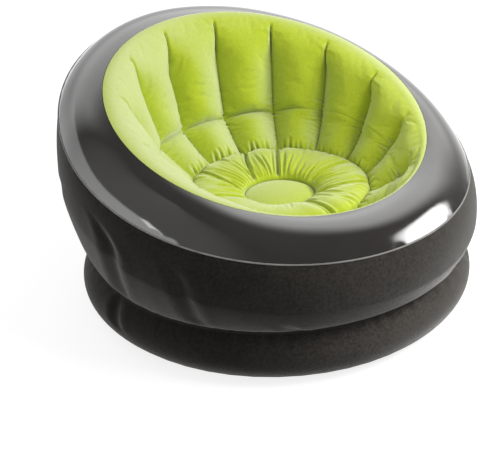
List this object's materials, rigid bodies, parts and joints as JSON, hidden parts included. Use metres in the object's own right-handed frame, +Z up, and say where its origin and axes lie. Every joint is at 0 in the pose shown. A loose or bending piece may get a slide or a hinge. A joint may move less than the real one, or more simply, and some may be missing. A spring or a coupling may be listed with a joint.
{
  "type": "inflatable chair",
  "caption": "Round inflatable lounge chair: flocked tub on an air ring, glossy rim that rises to the back, channelled bowl seat and a two-way air valve.",
  "frame": {"origin": "on the floor, under the middle of the chair's box", "axes": "+X to the right seen from the front, -Y to the front, +Z up"},
  "size_m": [1.1158, 1.0925, 0.685],
  "materials": {
    "charcoal_flock": "flocked charcoal vinyl, velvety, no gloss",
    "gloss_vinyl": "smooth glossy charcoal vinyl film",
    "green_flock": "flocked lime green vinyl, soft sheen",
    "plain_film": "plain charcoal vinyl film",
    "valve_plastic": "moulded soft black vinyl, satin"
  },
  "bodies": {
    "chair": {"lower_ring_wall": "charcoal_flock", "upper_wall": "charcoal_flock", "rim_ring_panel": "gloss_vinyl", "backrest_liner": "green_flock", "lower_liner": "green_flock", "seat_ring_panel": "green_flock", "seat_centre_panel": "green_flock", "base_panel": "plain_film", "base_weld_seam": "plain_film", "outer_rim_weld_seam": "plain_film", "waist_diaphragm": "plain_film", "seat_outer_tie": "plain_film", "seat_inner_tie": "plain_film", "channel_web_01": "plain_film", "channel_web_02": "plain_film", "channel_web_03": "plain_film", "channel_web_04": "plain_film", "channel_web_05": "plain_film", "channel_web_06": "plain_film", "channel_web_07": "plain_film", "channel_web_08": "plain_film", "channel_web_09": "plain_film", "channel_web_10": "plain_film", "channel_web_11": "plain_film", "channel_web_12": "plain_film", "channel_web_13": "plain_film", "channel_web_14": "plain_film", "valve_socket": "valve_plastic", "plug_tether": "valve_plastic"},
    "plug": {"valve_plug": "valve_plastic", "cap_hinge_pad": "valve_plastic"},
    "cap": {"inflation_cap": "valve_plastic"},
    "flap": {"check_flap": "valve_plastic"}
  },
  "joints": [
    {"name": "plug_pull", "type": "slide", "parent": "chair", "child": "plug", "axis": [0, 0.9891, -0.1473], "range_m": [0, 0.03]},
    {"name": "cap_lift", "type": "hinge", "parent": "plug", "child": "cap", "pos_m": [0, 0.52807, 0.26344], "axis": [1, 0, 0], "range_deg": [0, 150]},
    {"name": "flap_swing", "type": "hinge", "parent": "plug", "child": "flap", "pos_m": [0, 0.50558, 0.25769], "axis": [-1, 0, 0], "range_deg": [0, 60]}
  ]
}
